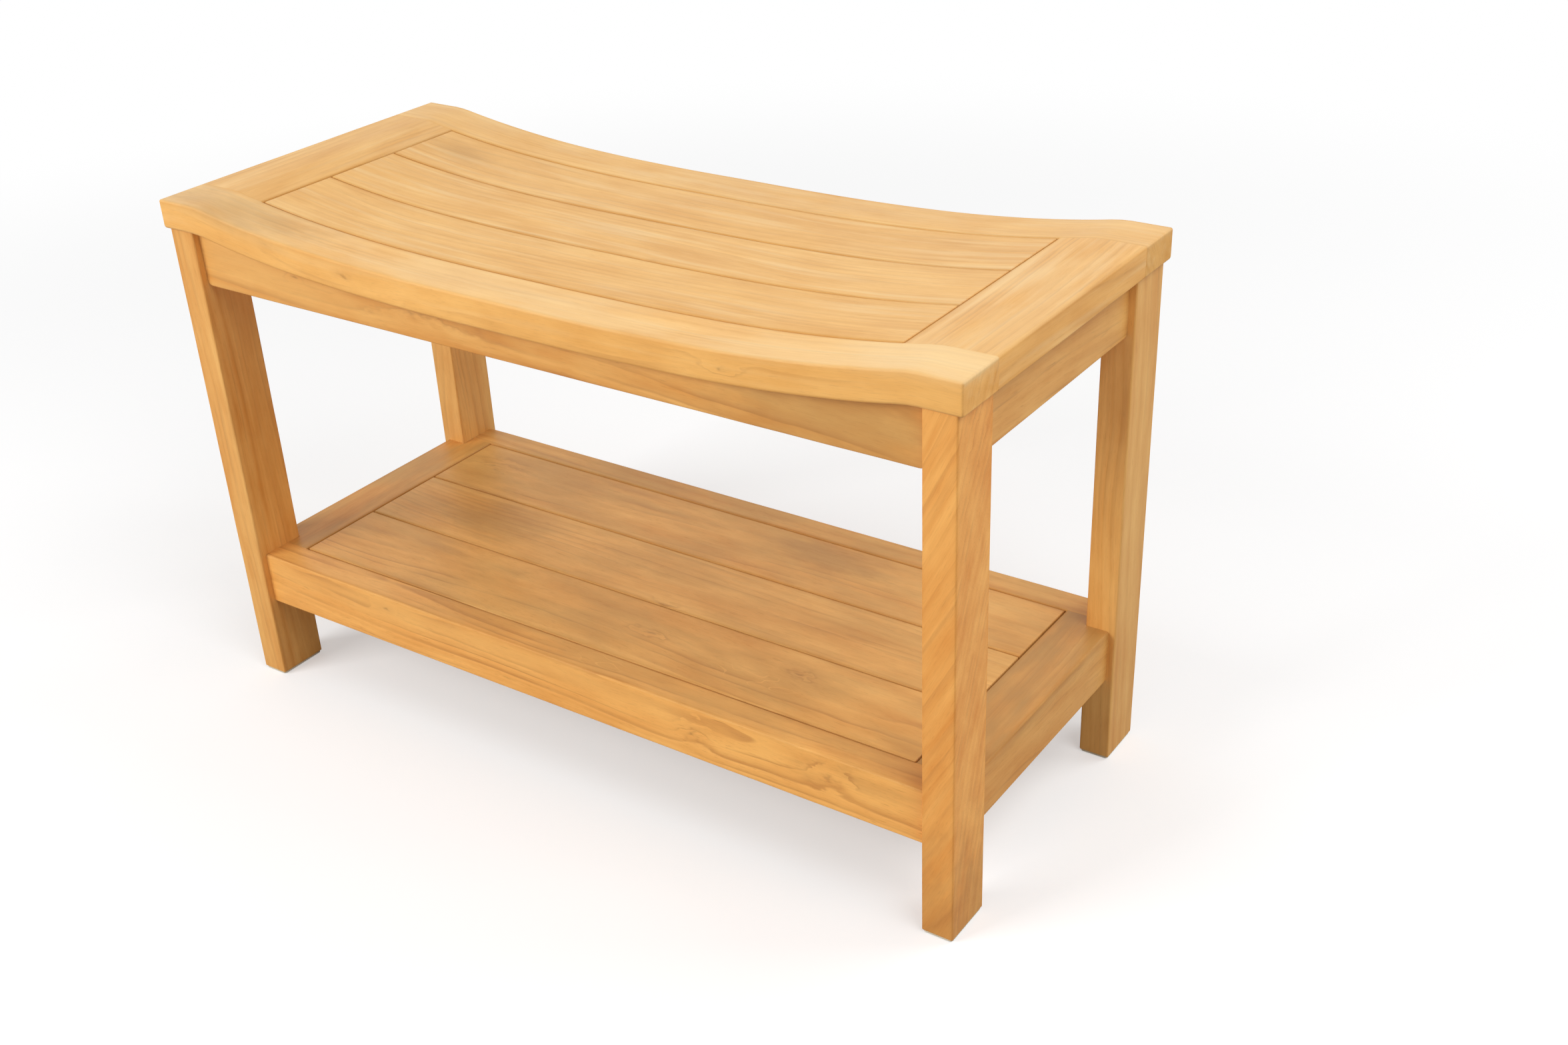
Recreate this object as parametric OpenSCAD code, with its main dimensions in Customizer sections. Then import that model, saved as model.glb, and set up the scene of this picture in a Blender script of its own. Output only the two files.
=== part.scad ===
// Teak shower bench: a saddle seat of rails and slats on four legs, with a slatted shelf below.
// X runs along the seat, Y from front to back, Z up from the floor.
// The origin is on the floor, under the middle of the seat. Millimetres.
// Each joint is a tenon or tongue in a mortise that takes its size from the same values.

/* [Seat] */
// Length of the seat from end to end
seat_length = 762; // [640:2:960]
// Width of the seat from front to back
seat_width = 326; // [300:2:420]
// Height of the seat's flat ends above the floor
seat_height = 464; // [380:2:560]
// Depth of the hollow in the middle of the seat
seat_dip = 21.5; // [10:0.5:28]
// Radius of the crest where each flat end turns down into the hollow
crest_radius = 100; // [40:5:200]
// Flat stretch of the seat inward of each leg
flat_past_leg = 0.5; // [0.5:0.5:30]
// Thickness of the seat's rails and slats
seat_thickness = 25; // [22:0.5:32]
// Width of the long rails at the seat's front and rear
seat_rail_width = 48; // [44:1:60]
// Width of the rail across each end of the seat
seat_end_rail_width = 71; // [60:1:90]
// Open gap around and between the seat's slats
seat_slat_gap = 1.5; // [1:0.25:4]
// Radius of the edges across each end of the seat
seat_edge_radius = 2.5; // [0.5:0.5:5]

/* [Legs] */
// Size of a leg along the seat's length
leg_width = 27; // [26:1:40]
// Size of a leg from front to back
leg_depth = 48; // [44:1:60]
// How far the seat stands out past the legs at each end
end_overhang = 4.5; // [1:0.5:20]
// How far the seat stands out past the legs at the front and rear
side_overhang = 2.5; // [1:0.5:6]
// Radius of a leg's four long edges
leg_edge_radius = 2.5; // [1:0.5:5]

/* [Aprons] */
// Height of the aprons where they meet the legs
apron_height = 48; // [44:1:70]
// Thickness of the aprons
apron_thickness = 20; // [18:1:24]
// How far the aprons sit back from the legs' outer faces
apron_setback = 6; // [3:0.5:8]

/* [Shelf] */
// Height of the shelf's top above the floor
shelf_height = 128.5; // [100:0.5:220]
// Width of the shelf's long rails, seen from above
shelf_rail_width = 28; // [24:1:36]
// Depth of the shelf's rails from top to bottom
shelf_rail_depth = 49; // [42:1:60]
// Width of the shelf's end rails, seen from above
shelf_end_rail_width = 45; // [40:1:60]
// How far the shelf's rails sit back from the legs' outer faces
shelf_setback = 6; // [3:0.5:8]
// Thickness of the shelf's slats
shelf_slat_thickness = 18; // [15:1:22]
// Open gap around and between the shelf's slats
shelf_slat_gap = 1.5; // [1:0.25:4]

/* [Battens] */
// Width of the batten under the middle of the slats
batten_width = 45; // [30:1:70]
// Thickness of the battens
batten_thickness = 18; // [14:1:20]
// Length of the stub tenon at each end of a batten
batten_tenon_length = 8; // [5:1:12]

/* [Joints] */
// Thickness of the tenons
tenon_thickness = 8; // [6:0.5:10]
// Length of the tenons that enter the legs
tenon_length = 16; // [10:1:18]
// Step from the edge of a rail or apron down to its tenon
tenon_shoulder = 8; // [5:1:12]
// Length of the end rails' tenons in the seat's long rails
seat_tenon_length = 18; // [12:1:20]
// Height of the stub tenon on top of each leg
leg_tenon_height = 13; // [8:1:15]
// Thickness of the tongues at the ends of the slats
tongue_thickness = 7; // [5:0.5:9]
// Length of the tongues at the ends of the slats
tongue_length = 10; // [6:1:16]
// Step from the side of a slat to its tongue
tongue_shoulder = 10; // [5:1:20]
// Clearance around tenons and tongues
joint_clearance = 0.2; // [0.1:0.05:0.3]

/* [Edges] */
// Radius of the long edges of aprons, shelf rails, shelf slats and battens
edge_radius = 2; // [0.5:0.5:4]

/* [Screws] */
// Diameter of a batten screw's shank
screw_diameter = 4; // [3:0.5:5]
// Diameter of a batten screw's countersunk head
screw_head_diameter = 8; // [7:0.5:10]
// Length of screw that enters a slat
screw_bite = 12; // [8:1:13]
// Clearance around a screw
screw_clearance = 0.15; // [0.1:0.05:0.3]

/* [Feet] */
// Thickness of the pad under each leg
pad_thickness = 2; // [1:0.5:6]
// How far the pad's edge sits in from the leg's faces
pad_inset = 1; // [0.5:0.5:4]
// Diameter of the peg that holds a pad in its leg
peg_diameter = 6; // [4:0.5:9]
// Length of the peg that holds a pad in its leg
peg_length = 14; // [8:1:20]
// Clearance around the peg
peg_clearance = 0.15; // [0.1:0.05:0.3]

/* [Hidden] */

// Colours of the oiled teak, the screws and the pads
seat_color = "#E6BA80";
frame_color = "#DFA469";
shelf_color = "#C99459";
hidden_color = "#B98550";
screw_color = "#C9CCCE";
pad_color = "#E4DCCB";

// Sides of the bench, used to mirror a piece that is drawn on the right or at the rear
LEFT = -1;
RIGHT = 1;
FRONT = -1;
REAR = 1;
slat_count = 3;
arris_steps = 4;
// Length by which a tenon is rooted in its piece, and a cut runs clear of a face
root = 2;
// Wood left between a leg's stub tenon and the seat end rail's tenon
tenon_wall = 4;
// Steps in which the seat's hollow and each of its crests are drawn
hollow_steps = 40;
crest_steps = 4;
$fn = 48;

// The rear right quarter, from which the other three are mirrored
half_length = seat_length / 2;
half_width = seat_width / 2;
leg_x1 = half_length - end_overhang;
leg_x0 = leg_x1 - leg_width;
leg_y1 = half_width - side_overhang;
leg_y0 = leg_y1 - leg_depth;
leg_mid_x = (leg_x0 + leg_x1) / 2;
leg_mid_y = (leg_y0 + leg_y1) / 2;
seat_under = seat_height - seat_thickness;
seat_rail_y = half_width - seat_rail_width;
seat_end_x = half_length - seat_end_rail_width;
seat_mid_under = seat_under - seat_dip;
apron_z0 = seat_under - apron_height;
apron_y1 = leg_y1 - apron_setback;
apron_y0 = apron_y1 - apron_thickness;
apron_x1 = leg_x1 - apron_setback;
apron_x0 = apron_x1 - apron_thickness;
shelf_z0 = shelf_height - shelf_rail_depth;
shelf_y1 = leg_y1 - shelf_setback;
shelf_y0 = shelf_y1 - shelf_rail_width;
shelf_x1 = leg_x1 - shelf_setback;
shelf_x0 = shelf_x1 - shelf_end_rail_width;
shelf_slat_under = shelf_height - shelf_slat_thickness;
screw_length = batten_thickness + screw_bite;
screw_head_height = (screw_head_diameter - screw_diameter) / 2;

// Width of one slat in an opening that runs from -half to half, and the front edge of slat i
function slat_width(half, gap) = (2 * half - (slat_count + 1) * gap) / slat_count;
function slat_front(i, half, gap) = -half + gap + i * (slat_width(half, gap) + gap);

// The saddle: a cubic hollow that meets a parabolic crest with one slope at hollow_end.
// Beyond crest_end the seat is flat, so that it bears on the legs.
crest_end = leg_x0 - flat_past_leg;
crest_slope = (sqrt(pow(crest_end, 2) + 6 * crest_radius * seat_dip) - crest_end) / crest_radius;
hollow_end = crest_end - crest_slope * crest_radius;
hollow_rate = crest_slope / (3 * pow(hollow_end, 2));
function hollow_z(u) = hollow_rate * pow(u, 3) - seat_dip;
function crest_z(u) = -pow(crest_end - u, 2) / (2 * crest_radius);
function saddle_z(x) = let (u = abs(x)) u >= crest_end ? 0 : u > hollow_end ? crest_z(u) : hollow_z(u);

// Places along X at which the saddle is drawn, and those between two cuts
crest_stations = [for (k = [0:crest_steps]) crest_end - k * (crest_end - hollow_end) / crest_steps];
hollow_stations = [for (k = [1:hollow_steps - 1]) hollow_end * (2 * k / hollow_steps - 1)];
stations = concat(
    [for (x = crest_stations) -x],
    hollow_stations,
    [for (k = [crest_steps:-1:0]) crest_stations[k]]
);
function stations_between(x0, x1) = [for (x = stations) if (x > x0 && x < x1) x];

// The saddle in the straight steps it is drawn in, so that a board cut anywhere lies on its neighbours
saddle_steps = [for (x = stations) [x, saddle_z(x)]];
function step_z(x) = lookup(x, saddle_steps);
function reversed(list) = [for (k = [len(list) - 1:-1:0]) list[k]];

// Corner of an outline at a point, eased on its inner side (in_x, in_z), clockwise from an angle
function eased_corner(point, in_x, in_z, from, r) = r == 0 ? [point] : [
    for (k = [0:arris_steps])
    let (t = from - 90 * k / arris_steps)
    point + [r * (in_x + cos(t)), r * (in_z + sin(t))]
];

// Outline of a board that follows the saddle, from top_drop down to bottom_drop under the seat,
// with its corners at x0 eased by r0 and those at x1 by r1
function board_point(x, drop) = [x, seat_height - drop + step_z(x)];
function saddle_outline(x0, x1, top_drop, bottom_drop, r0, r1) =
    let (xs = stations_between(x0, x1))
    concat(
        eased_corner(board_point(x0, top_drop), 1, -1, 180, r0),
        [for (x = xs) board_point(x, top_drop)],
        eased_corner(board_point(x1, top_drop), -1, -1, 90, r1),
        eased_corner(board_point(x1, bottom_drop), -1, 1, 0, r1),
        [for (x = reversed(xs)) board_point(x, bottom_drop)],
        eased_corner(board_point(x0, bottom_drop), 1, 1, -90, r0)
    );

// Rectangle with eased corners
function eased_outline(a0, a1, b0, b1, r) = [
    for (c = [[a1 - r, b1 - r, 0], [a0 + r, b1 - r, 90], [a0 + r, b0 + r, 180], [a1 - r, b0 + r, 270]])
    for (k = [0:arris_steps])
    let (t = c[2] + 90 * k / arris_steps)
    [c[0] + r * cos(t), c[1] + r * sin(t)]
];

module saddle_board(x0, x1, y0, y1, top_drop = 0, bottom_drop = seat_thickness, r0 = 0, r1 = 0) {
    translate([0, y1, 0])
    rotate([90, 0, 0])
    linear_extrude(y1 - y0)
    polygon(saddle_outline(x0, x1, top_drop, bottom_drop, r0, r1));
}

module bar_x(x0, x1, y0, y1, z0, z1, r) {
    translate([x0, 0, 0])
    rotate([90, 0, 90])
    linear_extrude(x1 - x0)
    polygon(eased_outline(y0, y1, z0, z1, r));
}

module bar_y(x0, x1, y0, y1, z0, z1, r) {
    translate([0, y1, 0])
    rotate([90, 0, 0])
    linear_extrude(y1 - y0)
    polygon(eased_outline(x0, x1, z0, z1, r));
}

module bar_z(x0, x1, y0, y1, z0, z1, r) {
    translate([0, 0, z0])
    linear_extrude(z1 - z0)
    polygon(eased_outline(x0, x1, y0, y1, r));
}

// Plain block between two corners, grown on every side where it cuts a mortise
module block(low, high, grow = 0) {
    translate([for (i = [0:2]) low[i] - grow])
    cube([for (i = [0:2]) high[i] - low[i] + 2 * grow]);
}

module on_side(x_side) {
    if (x_side == LEFT) mirror([1, 0, 0]) children();
    else children();
}

module on_face(y_side) {
    if (y_side == FRONT) mirror([0, 1, 0]) children();
    else children();
}

module both_sides() {
    for (x_side = [LEFT, RIGHT]) on_side(x_side) children();
}

module both_faces() {
    for (y_side = [FRONT, REAR]) on_face(y_side) children();
}

// ---- Tenons, drawn in the rear right quarter ----

// Long apron into the side of a leg
module long_apron_tenon(grow = 0) {
    y0 = (apron_y0 + apron_y1 - tenon_thickness) / 2;
    block(
        [leg_x0 - root, y0, apron_z0 + tenon_shoulder],
        [leg_x0 + tenon_length, y0 + tenon_thickness, seat_under - tenon_shoulder],
        grow
    );
}

// End apron into the inner face of a leg
module end_apron_tenon(grow = 0) {
    x0 = (apron_x0 + apron_x1 - tenon_thickness) / 2;
    block(
        [x0, leg_y0 - root, apron_z0 + tenon_shoulder],
        [x0 + tenon_thickness, leg_y0 + tenon_length, seat_under - tenon_shoulder],
        grow
    );
}

// Long shelf rail into the side of a leg
module shelf_rail_tenon(grow = 0) {
    y0 = (shelf_y0 + shelf_y1 - tenon_thickness) / 2;
    block(
        [leg_x0 - root, y0, shelf_z0 + tenon_shoulder],
        [leg_x0 + tenon_length, y0 + tenon_thickness, shelf_height - tenon_shoulder],
        grow
    );
}

// Shelf end rail into the inner face of a leg
module shelf_end_rail_tenon(grow = 0) {
    x0 = (leg_x0 + shelf_x1 - tenon_thickness) / 2;
    block(
        [x0, leg_y0 - root, shelf_z0 + tenon_shoulder],
        [x0 + tenon_thickness, leg_y0 + tenon_length, shelf_height - tenon_shoulder],
        grow
    );
}

// Top of a leg into the underside of a long seat rail
module leg_tenon(grow = 0) {
    block(
        [leg_x0 + tenon_shoulder, seat_rail_y + seat_tenon_length + tenon_wall, seat_under - root],
        [leg_x1 - tenon_shoulder, leg_y1 - tenon_shoulder, seat_under + leg_tenon_height],
        grow
    );
}

// Seat end rail into the inner edge of a long seat rail
module seat_end_rail_tenon(grow = 0) {
    x0 = seat_end_x + tenon_shoulder;
    z0 = (seat_under + seat_height + saddle_z(x0) - tenon_thickness) / 2;
    block(
        [x0, seat_rail_y - root, z0],
        [half_length - tenon_shoulder, seat_rail_y + seat_tenon_length, z0 + tenon_thickness],
        grow
    );
}

// Seat batten into the inner face of a long apron
module seat_batten_tenon(grow = 0) {
    z0 = seat_mid_under - (batten_thickness + tenon_thickness) / 2;
    block(
        [tenon_shoulder - batten_width / 2, apron_y0 - root, z0],
        [batten_width / 2 - tenon_shoulder, apron_y0 + batten_tenon_length, z0 + tenon_thickness],
        grow
    );
}

// Shelf batten into the inner face of a long shelf rail
module shelf_batten_tenon(grow = 0) {
    z0 = shelf_slat_under - (batten_thickness + tenon_thickness) / 2;
    block(
        [tenon_shoulder - batten_width / 2, shelf_y0 - root, z0],
        [batten_width / 2 - tenon_shoulder, shelf_y0 + batten_tenon_length, z0 + tenon_thickness],
        grow
    );
}

// Tongue of seat slat i in the inner edge of the right end rail
module seat_tongue(i, grow = 0) {
    front = slat_front(i, seat_rail_y, seat_slat_gap);
    cover = (seat_thickness - tongue_thickness) / 2;
    saddle_board(
        seat_end_x - seat_slat_gap - root - grow,
        seat_end_x + tongue_length + grow,
        front + tongue_shoulder - grow,
        front + slat_width(seat_rail_y, seat_slat_gap) - tongue_shoulder + grow,
        cover - grow,
        cover + tongue_thickness + grow
    );
}

// Tongue of shelf slat i in the inner edge of the right end rail
module shelf_tongue(i, grow = 0) {
    front = slat_front(i, shelf_y0, shelf_slat_gap);
    z0 = shelf_slat_under + (shelf_slat_thickness - tongue_thickness) / 2;
    block(
        [shelf_x0 - shelf_slat_gap - root, front + tongue_shoulder, z0],
        [
            shelf_x0 + tongue_length,
            front + slat_width(shelf_y0, shelf_slat_gap) - tongue_shoulder,
            z0 + tongue_thickness
        ],
        grow
    );
}

// ---- Screws ----

// Places along Y of the screws through the seat batten: one for each slat and each long rail
function slat_middle(i, half, gap) = slat_front(i, half, gap) + slat_width(half, gap) / 2;
rail_screw_y = (seat_rail_y + apron_y0) / 2;
seat_screw_ys = concat(
    [-rail_screw_y],
    [for (i = [0:slat_count - 1]) slat_middle(i, seat_rail_y, seat_slat_gap)],
    [rail_screw_y]
);
shelf_screw_ys = [for (i = [0:slat_count - 1]) slat_middle(i, shelf_y0, shelf_slat_gap)];

// Countersunk screw that points up from the underside of its batten, grown where it cuts its hole
module screw(grow = 0) {
    r = screw_diameter / 2 + grow;
    head_r = screw_head_diameter / 2 + grow;
    cylinder(h = screw_head_height, r1 = head_r, r2 = r);
    cylinder(h = screw_length + grow, r = r);
}

// Hole for a screw, run clear of the batten's underside
module screw_hole() {
    head_r = screw_head_diameter / 2 + screw_clearance;
    screw(screw_clearance);
    translate([0, 0, -root]) cylinder(h = root, r = head_r);
}

module at_seat_screws() {
    for (y = seat_screw_ys) translate([0, y, seat_mid_under - batten_thickness]) children();
}

module at_shelf_screws() {
    for (y = shelf_screw_ys) translate([0, y, shelf_slat_under - batten_thickness]) children();
}

// ---- Pieces ----

// Long rail that runs the whole length of the seat
module seat_long_rail(y_side) {
    color(seat_color)
    difference() {
        on_face(y_side)
        difference() {
            saddle_board(
                -half_length, half_length, seat_rail_y, half_width,
                r0 = seat_edge_radius, r1 = seat_edge_radius
            );
            both_sides() seat_end_rail_tenon(joint_clearance);
            both_sides() leg_tenon(joint_clearance);
        }
        at_seat_screws() screw_hole();
    }
}

// Rail across one end of the seat, between the long rails
module seat_end_rail(x_side) {
    color(seat_color)
    on_side(x_side)
    difference() {
        union() {
            saddle_board(seat_end_x, half_length, -seat_rail_y, seat_rail_y, r1 = seat_edge_radius);
            both_faces() seat_end_rail_tenon();
        }
        for (i = [0:slat_count - 1]) seat_tongue(i, joint_clearance);
    }
}

module seat_slat(i) {
    front = slat_front(i, seat_rail_y, seat_slat_gap);
    reach = seat_end_x - seat_slat_gap;
    color(seat_color)
    difference() {
        union() {
            saddle_board(-reach, reach, front, front + slat_width(seat_rail_y, seat_slat_gap));
            both_sides() seat_tongue(i);
        }
        at_seat_screws() screw_hole();
    }
}

// Batten under the middle of the seat, from apron to apron
module seat_cross_batten() {
    half = batten_width / 2;
    z0 = seat_mid_under - batten_thickness;
    color(hidden_color)
    difference() {
        union() {
            bar_y(-half, half, -apron_y0, apron_y0, z0, seat_mid_under, edge_radius);
            both_faces() seat_batten_tenon();
        }
        at_seat_screws() screw_hole();
    }
}

module leg(x_side, y_side) {
    color(frame_color)
    on_side(x_side)
    on_face(y_side)
    difference() {
        union() {
            bar_z(leg_x0, leg_x1, leg_y0, leg_y1, pad_thickness, seat_under, leg_edge_radius);
            leg_tenon();
        }
        long_apron_tenon(joint_clearance);
        end_apron_tenon(joint_clearance);
        shelf_rail_tenon(joint_clearance);
        shelf_end_rail_tenon(joint_clearance);
        foot_peg(peg_clearance);
    }
}

// Apron under a long seat rail: its top follows the rail's underside
module long_apron(y_side) {
    apron_drop = seat_thickness + apron_height + seat_dip;
    color(frame_color)
    on_face(y_side)
    difference() {
        union() {
            intersection() {
                saddle_board(-leg_x0, leg_x0, apron_y0, apron_y1, seat_thickness, apron_drop);
                bar_x(-leg_x0, leg_x0, apron_y0, apron_y1, apron_z0, seat_height, edge_radius);
            }
            both_sides() long_apron_tenon();
        }
        seat_batten_tenon(joint_clearance);
    }
}

// Apron under an end rail of the seat: its top follows the rail's underside too
module end_apron(x_side) {
    apron_drop = seat_thickness + apron_height;
    color(frame_color)
    on_side(x_side) {
        intersection() {
            saddle_board(apron_x0, apron_x1, -leg_y0, leg_y0, seat_thickness, apron_drop);
            bar_y(apron_x0, apron_x1, -leg_y0, leg_y0, apron_z0, seat_height, edge_radius);
        }
        both_faces() end_apron_tenon();
    }
}

module shelf_long_rail(y_side) {
    color(shelf_color)
    on_face(y_side)
    difference() {
        union() {
            bar_x(-leg_x0, leg_x0, shelf_y0, shelf_y1, shelf_z0, shelf_height, edge_radius);
            both_sides() shelf_rail_tenon();
        }
        shelf_batten_tenon(joint_clearance);
    }
}

// End rail of the shelf, notched round the legs' inner corners
module shelf_end_rail(x_side) {
    notch_low = [leg_x0, leg_y0, shelf_z0 - root];
    notch_high = [leg_x1, leg_y1, shelf_height + root];
    color(shelf_color)
    on_side(x_side)
    difference() {
        union() {
            difference() {
                bar_y(shelf_x0, shelf_x1, -shelf_y0, shelf_y0, shelf_z0, shelf_height, edge_radius);
                both_faces() block(notch_low, notch_high);
            }
            both_faces() shelf_end_rail_tenon();
        }
        for (i = [0:slat_count - 1]) shelf_tongue(i, joint_clearance);
    }
}

module shelf_slat(i) {
    front = slat_front(i, shelf_y0, shelf_slat_gap);
    back = front + slat_width(shelf_y0, shelf_slat_gap);
    reach = shelf_x0 - shelf_slat_gap;
    color(shelf_color)
    difference() {
        union() {
            bar_x(-reach, reach, front, back, shelf_slat_under, shelf_height, edge_radius);
            both_sides() shelf_tongue(i);
        }
        at_shelf_screws() screw_hole();
    }
}

// Batten under the middle of the shelf, from rail to rail
module shelf_cross_batten() {
    half = batten_width / 2;
    z0 = shelf_slat_under - batten_thickness;
    color(hidden_color)
    difference() {
        union() {
            bar_y(-half, half, -shelf_y0, shelf_y0, z0, shelf_slat_under, edge_radius);
            both_faces() shelf_batten_tenon();
        }
        at_shelf_screws() screw_hole();
    }
}

// Peg of a foot pad, or the hole for it in the leg
module foot_peg(grow = 0) {
    translate([leg_mid_x, leg_mid_y, pad_thickness - root])
    cylinder(h = peg_length + root + grow, d = peg_diameter + 2 * grow);
}

module foot_pad(x_side, y_side) {
    x0 = leg_x0 + pad_inset;
    x1 = leg_x1 - pad_inset;
    y0 = leg_y0 + pad_inset;
    y1 = leg_y1 - pad_inset;
    color(pad_color)
    on_side(x_side)
    on_face(y_side) {
        bar_z(x0, x1, y0, y1, 0, pad_thickness, leg_edge_radius);
        foot_peg();
    }
}

module seat_front_rail() { seat_long_rail(FRONT); }
module seat_rear_rail() { seat_long_rail(REAR); }
module seat_left_end_rail() { seat_end_rail(LEFT); }
module seat_right_end_rail() { seat_end_rail(RIGHT); }
module seat_front_slat() { seat_slat(0); }
module seat_middle_slat() { seat_slat(1); }
module seat_rear_slat() { seat_slat(2); }
module seat_batten() { seat_cross_batten(); }
module seat_batten_screws() { color(screw_color) at_seat_screws() screw(); }
module front_left_leg() { leg(LEFT, FRONT); }
module front_right_leg() { leg(RIGHT, FRONT); }
module rear_left_leg() { leg(LEFT, REAR); }
module rear_right_leg() { leg(RIGHT, REAR); }
module front_apron() { long_apron(FRONT); }
module rear_apron() { long_apron(REAR); }
module left_apron() { end_apron(LEFT); }
module right_apron() { end_apron(RIGHT); }
module shelf_front_rail() { shelf_long_rail(FRONT); }
module shelf_rear_rail() { shelf_long_rail(REAR); }
module shelf_left_end_rail() { shelf_end_rail(LEFT); }
module shelf_right_end_rail() { shelf_end_rail(RIGHT); }
module shelf_front_slat() { shelf_slat(0); }
module shelf_middle_slat() { shelf_slat(1); }
module shelf_rear_slat() { shelf_slat(2); }
module shelf_batten() { shelf_cross_batten(); }
module shelf_batten_screws() { color(screw_color) at_shelf_screws() screw(); }
module front_left_foot_pad() { foot_pad(LEFT, FRONT); }
module front_right_foot_pad() { foot_pad(RIGHT, FRONT); }
module rear_left_foot_pad() { foot_pad(LEFT, REAR); }
module rear_right_foot_pad() { foot_pad(RIGHT, REAR); }

seat_front_rail();
seat_rear_rail();
seat_left_end_rail();
seat_right_end_rail();
seat_front_slat();
seat_middle_slat();
seat_rear_slat();
seat_batten();
seat_batten_screws();
front_left_leg();
front_right_leg();
rear_left_leg();
rear_right_leg();
front_apron();
rear_apron();
left_apron();
right_apron();
shelf_front_rail();
shelf_rear_rail();
shelf_left_end_rail();
shelf_right_end_rail();
shelf_front_slat();
shelf_middle_slat();
shelf_rear_slat();
shelf_batten();
shelf_batten_screws();
front_left_foot_pad();
front_right_foot_pad();
rear_left_foot_pad();
rear_right_foot_pad();
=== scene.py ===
"""Teak shower bench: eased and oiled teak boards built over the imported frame.

Everything is in metres, in the row frame: X along the seat, Y from front to back, Z up from the floor.
Each board is lofted through rounded sections between the corners that the frame gives, and carries
its own log coordinates, so that one teak material draws face, edge and end grain on every side.
"""
import math
from functools import partial
from typing import NamedTuple

import bmesh
import bpy
from mathutils import Matrix, Vector, noise


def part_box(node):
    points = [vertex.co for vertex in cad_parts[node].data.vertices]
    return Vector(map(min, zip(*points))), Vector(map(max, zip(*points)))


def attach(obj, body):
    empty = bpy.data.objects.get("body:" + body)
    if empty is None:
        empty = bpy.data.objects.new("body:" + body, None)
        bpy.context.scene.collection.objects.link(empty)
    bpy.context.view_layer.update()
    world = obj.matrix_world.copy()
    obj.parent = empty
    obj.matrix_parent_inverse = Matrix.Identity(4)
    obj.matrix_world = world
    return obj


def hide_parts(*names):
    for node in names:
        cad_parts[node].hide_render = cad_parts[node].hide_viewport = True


bl_info = {
    "name": "Teak shower bench",
    "version": (1, 0, 0),
    "blender": (4, 5, 0),
    "location": "3D View > Sidebar > Bench",
    "description": "Builds a saddle-seated teak shower bench, its finishes and its studio",
    "category": "Add Mesh",
}

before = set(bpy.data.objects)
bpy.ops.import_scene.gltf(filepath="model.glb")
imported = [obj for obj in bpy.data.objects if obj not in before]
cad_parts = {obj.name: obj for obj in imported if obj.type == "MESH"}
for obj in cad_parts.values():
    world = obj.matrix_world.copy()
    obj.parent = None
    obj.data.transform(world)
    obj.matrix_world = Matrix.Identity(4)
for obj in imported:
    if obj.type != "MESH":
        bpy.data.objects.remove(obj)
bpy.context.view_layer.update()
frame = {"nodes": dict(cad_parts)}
MM = 0.001

# ---- Places, read from the frame ----

RAIL_LOW, RAIL_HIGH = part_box("seat_rear_rail")
END_RAIL_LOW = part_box("seat_right_end_rail")[0]
LEG_LOW, LEG_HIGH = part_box("rear_right_leg")
APRON_LOW, APRON_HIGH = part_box("rear_apron")
SHELF_RAIL_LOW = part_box("shelf_rear_rail")[0]
SHELF_END_LOW, SHELF_END_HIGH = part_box("shelf_right_end_rail")

SEAT_TOP = RAIL_HIGH.z
SEAT_UNDER = APRON_HIGH.z
SEAT_DIP = SEAT_UNDER - RAIL_LOW.z
SEAT_SLATS = ("seat_front_slat", "seat_middle_slat", "seat_rear_slat")
SHELF_SLATS = ("shelf_front_slat", "shelf_middle_slat", "shelf_rear_slat")
SEAT_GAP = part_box("seat_middle_slat")[0].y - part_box("seat_front_slat")[1].y
SHELF_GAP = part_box("shelf_middle_slat")[0].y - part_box("shelf_front_slat")[1].y
CORNERS = ("front_left", "front_right", "rear_left", "rear_right")

# The saddle of the part's source: a cubic hollow that meets a parabolic crest with one slope
CREST_RADIUS = 100 * MM
FLAT_PAST_LEG = 0.5 * MM
CREST_END = LEG_LOW.x - FLAT_PAST_LEG
CREST_SLOPE = (math.sqrt(CREST_END ** 2 + 6 * CREST_RADIUS * SEAT_DIP) - CREST_END) / CREST_RADIUS
HOLLOW_END = CREST_END - CREST_SLOPE * CREST_RADIUS
HOLLOW_RATE = CREST_SLOPE / (3 * HOLLOW_END ** 2)


def saddle_z(x):
    """Height of the saddle at x, measured from the seat's flat ends."""
    u = abs(x)
    if u >= CREST_END:
        return 0.0
    if u > HOLLOW_END:
        return -((CREST_END - u) ** 2) / (2 * CREST_RADIUS)
    return HOLLOW_RATE * u ** 3 - SEAT_DIP


# ---- Boards ----

ARRIS_STEPS = 4
ARRIS_UNEVEN = 0.2  # share by which hand sanding widens or narrows an arris
ARRIS_RHYTHM = 22  # how often it does so, per metre
ARRIS_LEFT = 0.4  # share of an arris's painted shade and roughness that shows at a board's ends
BUTT_ARRIS = 0.15 * MM  # arris of an edge that is planed flush with its neighbour
ARRIS_STRIP = 2.5 * MM  # width over which the painted shade of arrises and gaps fades into a face
FOOT_ARRIS = 1.2 * MM
APRON_CORNER = 6 * MM  # radius of the aprons' lower corners beside the legs
PLACE_STEP = 8 * MM  # distance between the sections of a board
JOINT_STEP = 1 * MM  # distance on either side of a joint over which an arris changes
FACE_HOLLOW = 0.12 * MM  # deepest hollow that hand sanding leaves in a face
FACE_WAVELENGTH = 55 * MM
LOG_STEP = 0.731  # metres between two boards' places along their logs
SEED_STEP = 3.7  # distance between two boards in the noise of their arrises
SUN_COOLED = 0.7  # share of its warm colour that a board's upper face loses, as painted sheen
SHARP = math.radians(50)  # an edge that turns more than this stays hard
KNOTS = ("knot_one", "knot_two", "knot_three")
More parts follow.
